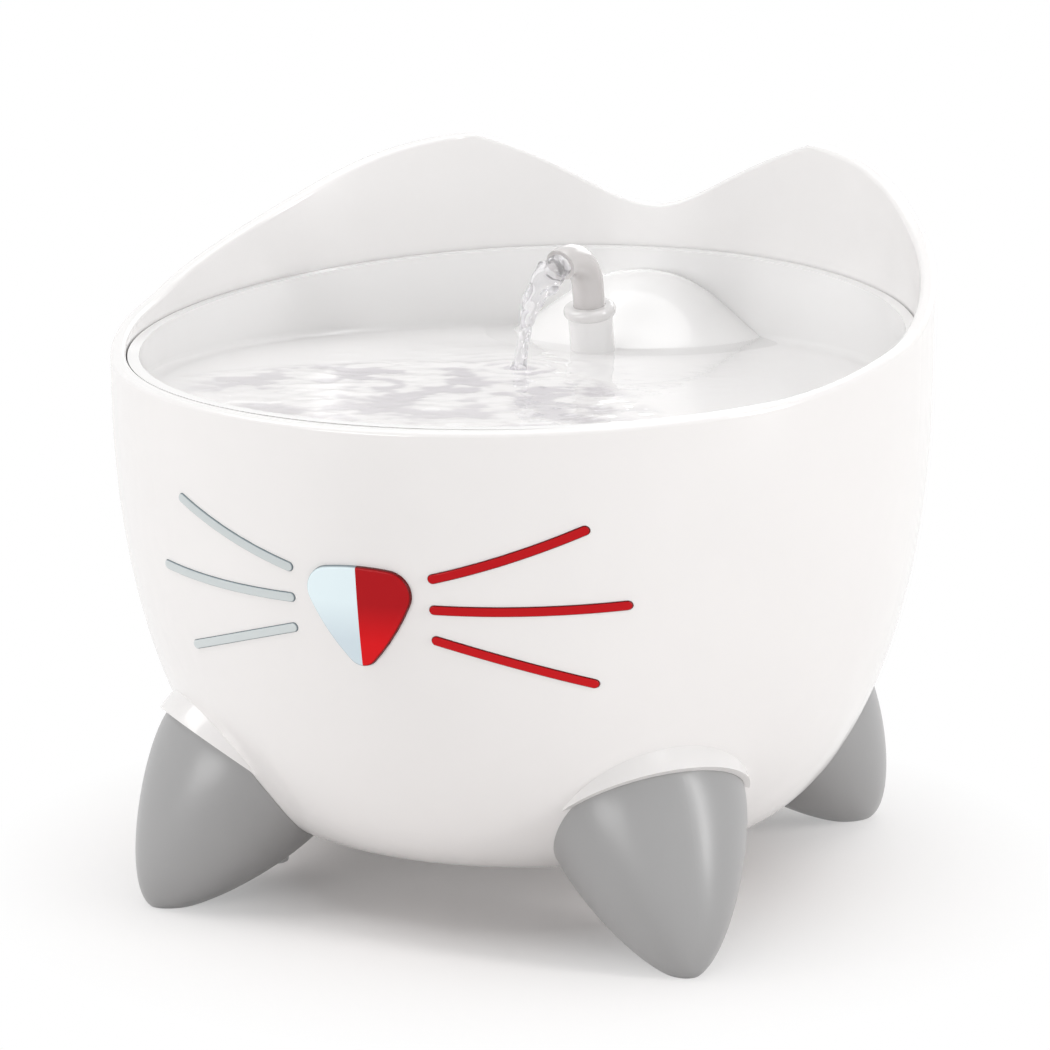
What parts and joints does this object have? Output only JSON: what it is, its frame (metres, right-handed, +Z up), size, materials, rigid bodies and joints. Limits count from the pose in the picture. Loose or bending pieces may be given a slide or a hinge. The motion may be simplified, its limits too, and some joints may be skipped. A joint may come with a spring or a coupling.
{
  "type": "pet water fountain",
  "caption": "Round pet drinking fountain with ears, cone feet, a lit nose and whiskers, a lift-off basin with a bent spout, and a pump and filter inside.",
  "frame": {"origin": "on the floor under the centre of the bowl", "axes": "+Z up, the face with nose and whiskers looks along -Y, +X is the right-hand side seen from the front"},
  "size_m": [0.218, 0.218, 0.1892],
  "materials": {
    "shell_white": "glossy",
    "foot_grey": "satin",
    "lens_nose": "glossy",
    "lens_pale": "glossy",
    "lens_red": "glossy",
    "seal_rubber": "matte",
    "cover_plastic": "satin",
    "board_laminate": "satin",
    "emitter_package": "satin",
    "stainless": "satin",
    "spout_plastic": "glossy",
    "silicone_clear": "satin",
    "pump_plastic": "satin",
    "core_laminations": "matte",
    "coil_copper": "satin",
    "ferrite": "matte",
    "impeller_plastic": "satin",
    "bush_ceramic": "matte",
    "dial_plastic": "satin",
    "cup_rubber": "satin",
    "filter_cloth": "matte",
    "foam_black": "matte",
    "inlet_plastic": "satin",
    "lead_jacket": "satin"
  },
  "bodies": {
    "base": {"shell": "shell_white", "foot_front_left": "foot_grey", "foot_front_right": "foot_grey", "foot_back_left": "foot_grey", "foot_back_right": "foot_grey", "foot_screws": "stainless", "nose_lens": "lens_nose", "whisker_lenses_left": "lens_pale", "whisker_lenses_right": "lens_red", "light_gasket": "seal_rubber", "light_cover": "cover_plastic", "light_board": "board_laminate", "light_emitters": "emitter_package", "cover_screws": "stainless", "level_probes": "stainless", "pump_body": "pump_plastic", "motor_cap": "pump_plastic", "stator_core": "core_laminations", "stator_coil": "coil_copper", "rotor_shaft": "stainless", "shaft_bushes": "bush_ceramic", "pump_cover": "pump_plastic", "cover_seal": "seal_rubber", "suction_cups": "cup_rubber", "pump_housing": "cover_plastic", "foam_block": "foam_black", "power_inlet": "inlet_plastic", "inlet_gasket": "seal_rubber", "inlet_nut": "inlet_plastic", "pump_lead": "lead_jacket", "light_lead": "lead_jacket"},
    "tray": {"drinking_tray": "shell_white", "spout_collar": "shell_white", "riser_tube": "silicone_clear"},
    "spout": {"spout_tube": "spout_plastic"},
    "rotor": {"rotor_magnet": "ferrite", "impeller": "impeller_plastic"},
    "dial": {"flow_dial": "dial_plastic"},
    "filter": {"filter_frame": "cover_plastic", "filter_pad": "filter_cloth"}
  },
  "joints": [
    {"name": "tray_lift", "type": "slide", "parent": "base", "child": "tray", "axis": [0, 0, 1], "range_m": [0, 0.14]},
    {"name": "spout_swivel", "type": "hinge", "parent": "tray", "child": "spout", "pos_m": [0, 0.052, 0.1445], "axis": [0, -0.225, 0.9744], "range_deg": [-45, 45]},
    {"name": "rotor_spin", "type": "hinge", "parent": "base", "child": "rotor", "pos_m": [0, 0.045, 0.047], "axis": [0, 1, 0], "continuous": true},
    {"name": "flow_dial_turn", "type": "hinge", "parent": "base", "child": "dial", "pos_m": [0, 0.065, 0.047], "axis": [0, 1, 0], "range_deg": [0, 60]},
    {"name": "filter_lift", "type": "slide", "parent": "base", "child": "filter", "axis": [0, 0, 1], "range_m": [0, 0.045]}
  ],
  "couplings": [
    {"joint": "filter_lift", "follows": "tray_lift", "ratio": 0.3}
  ]
}
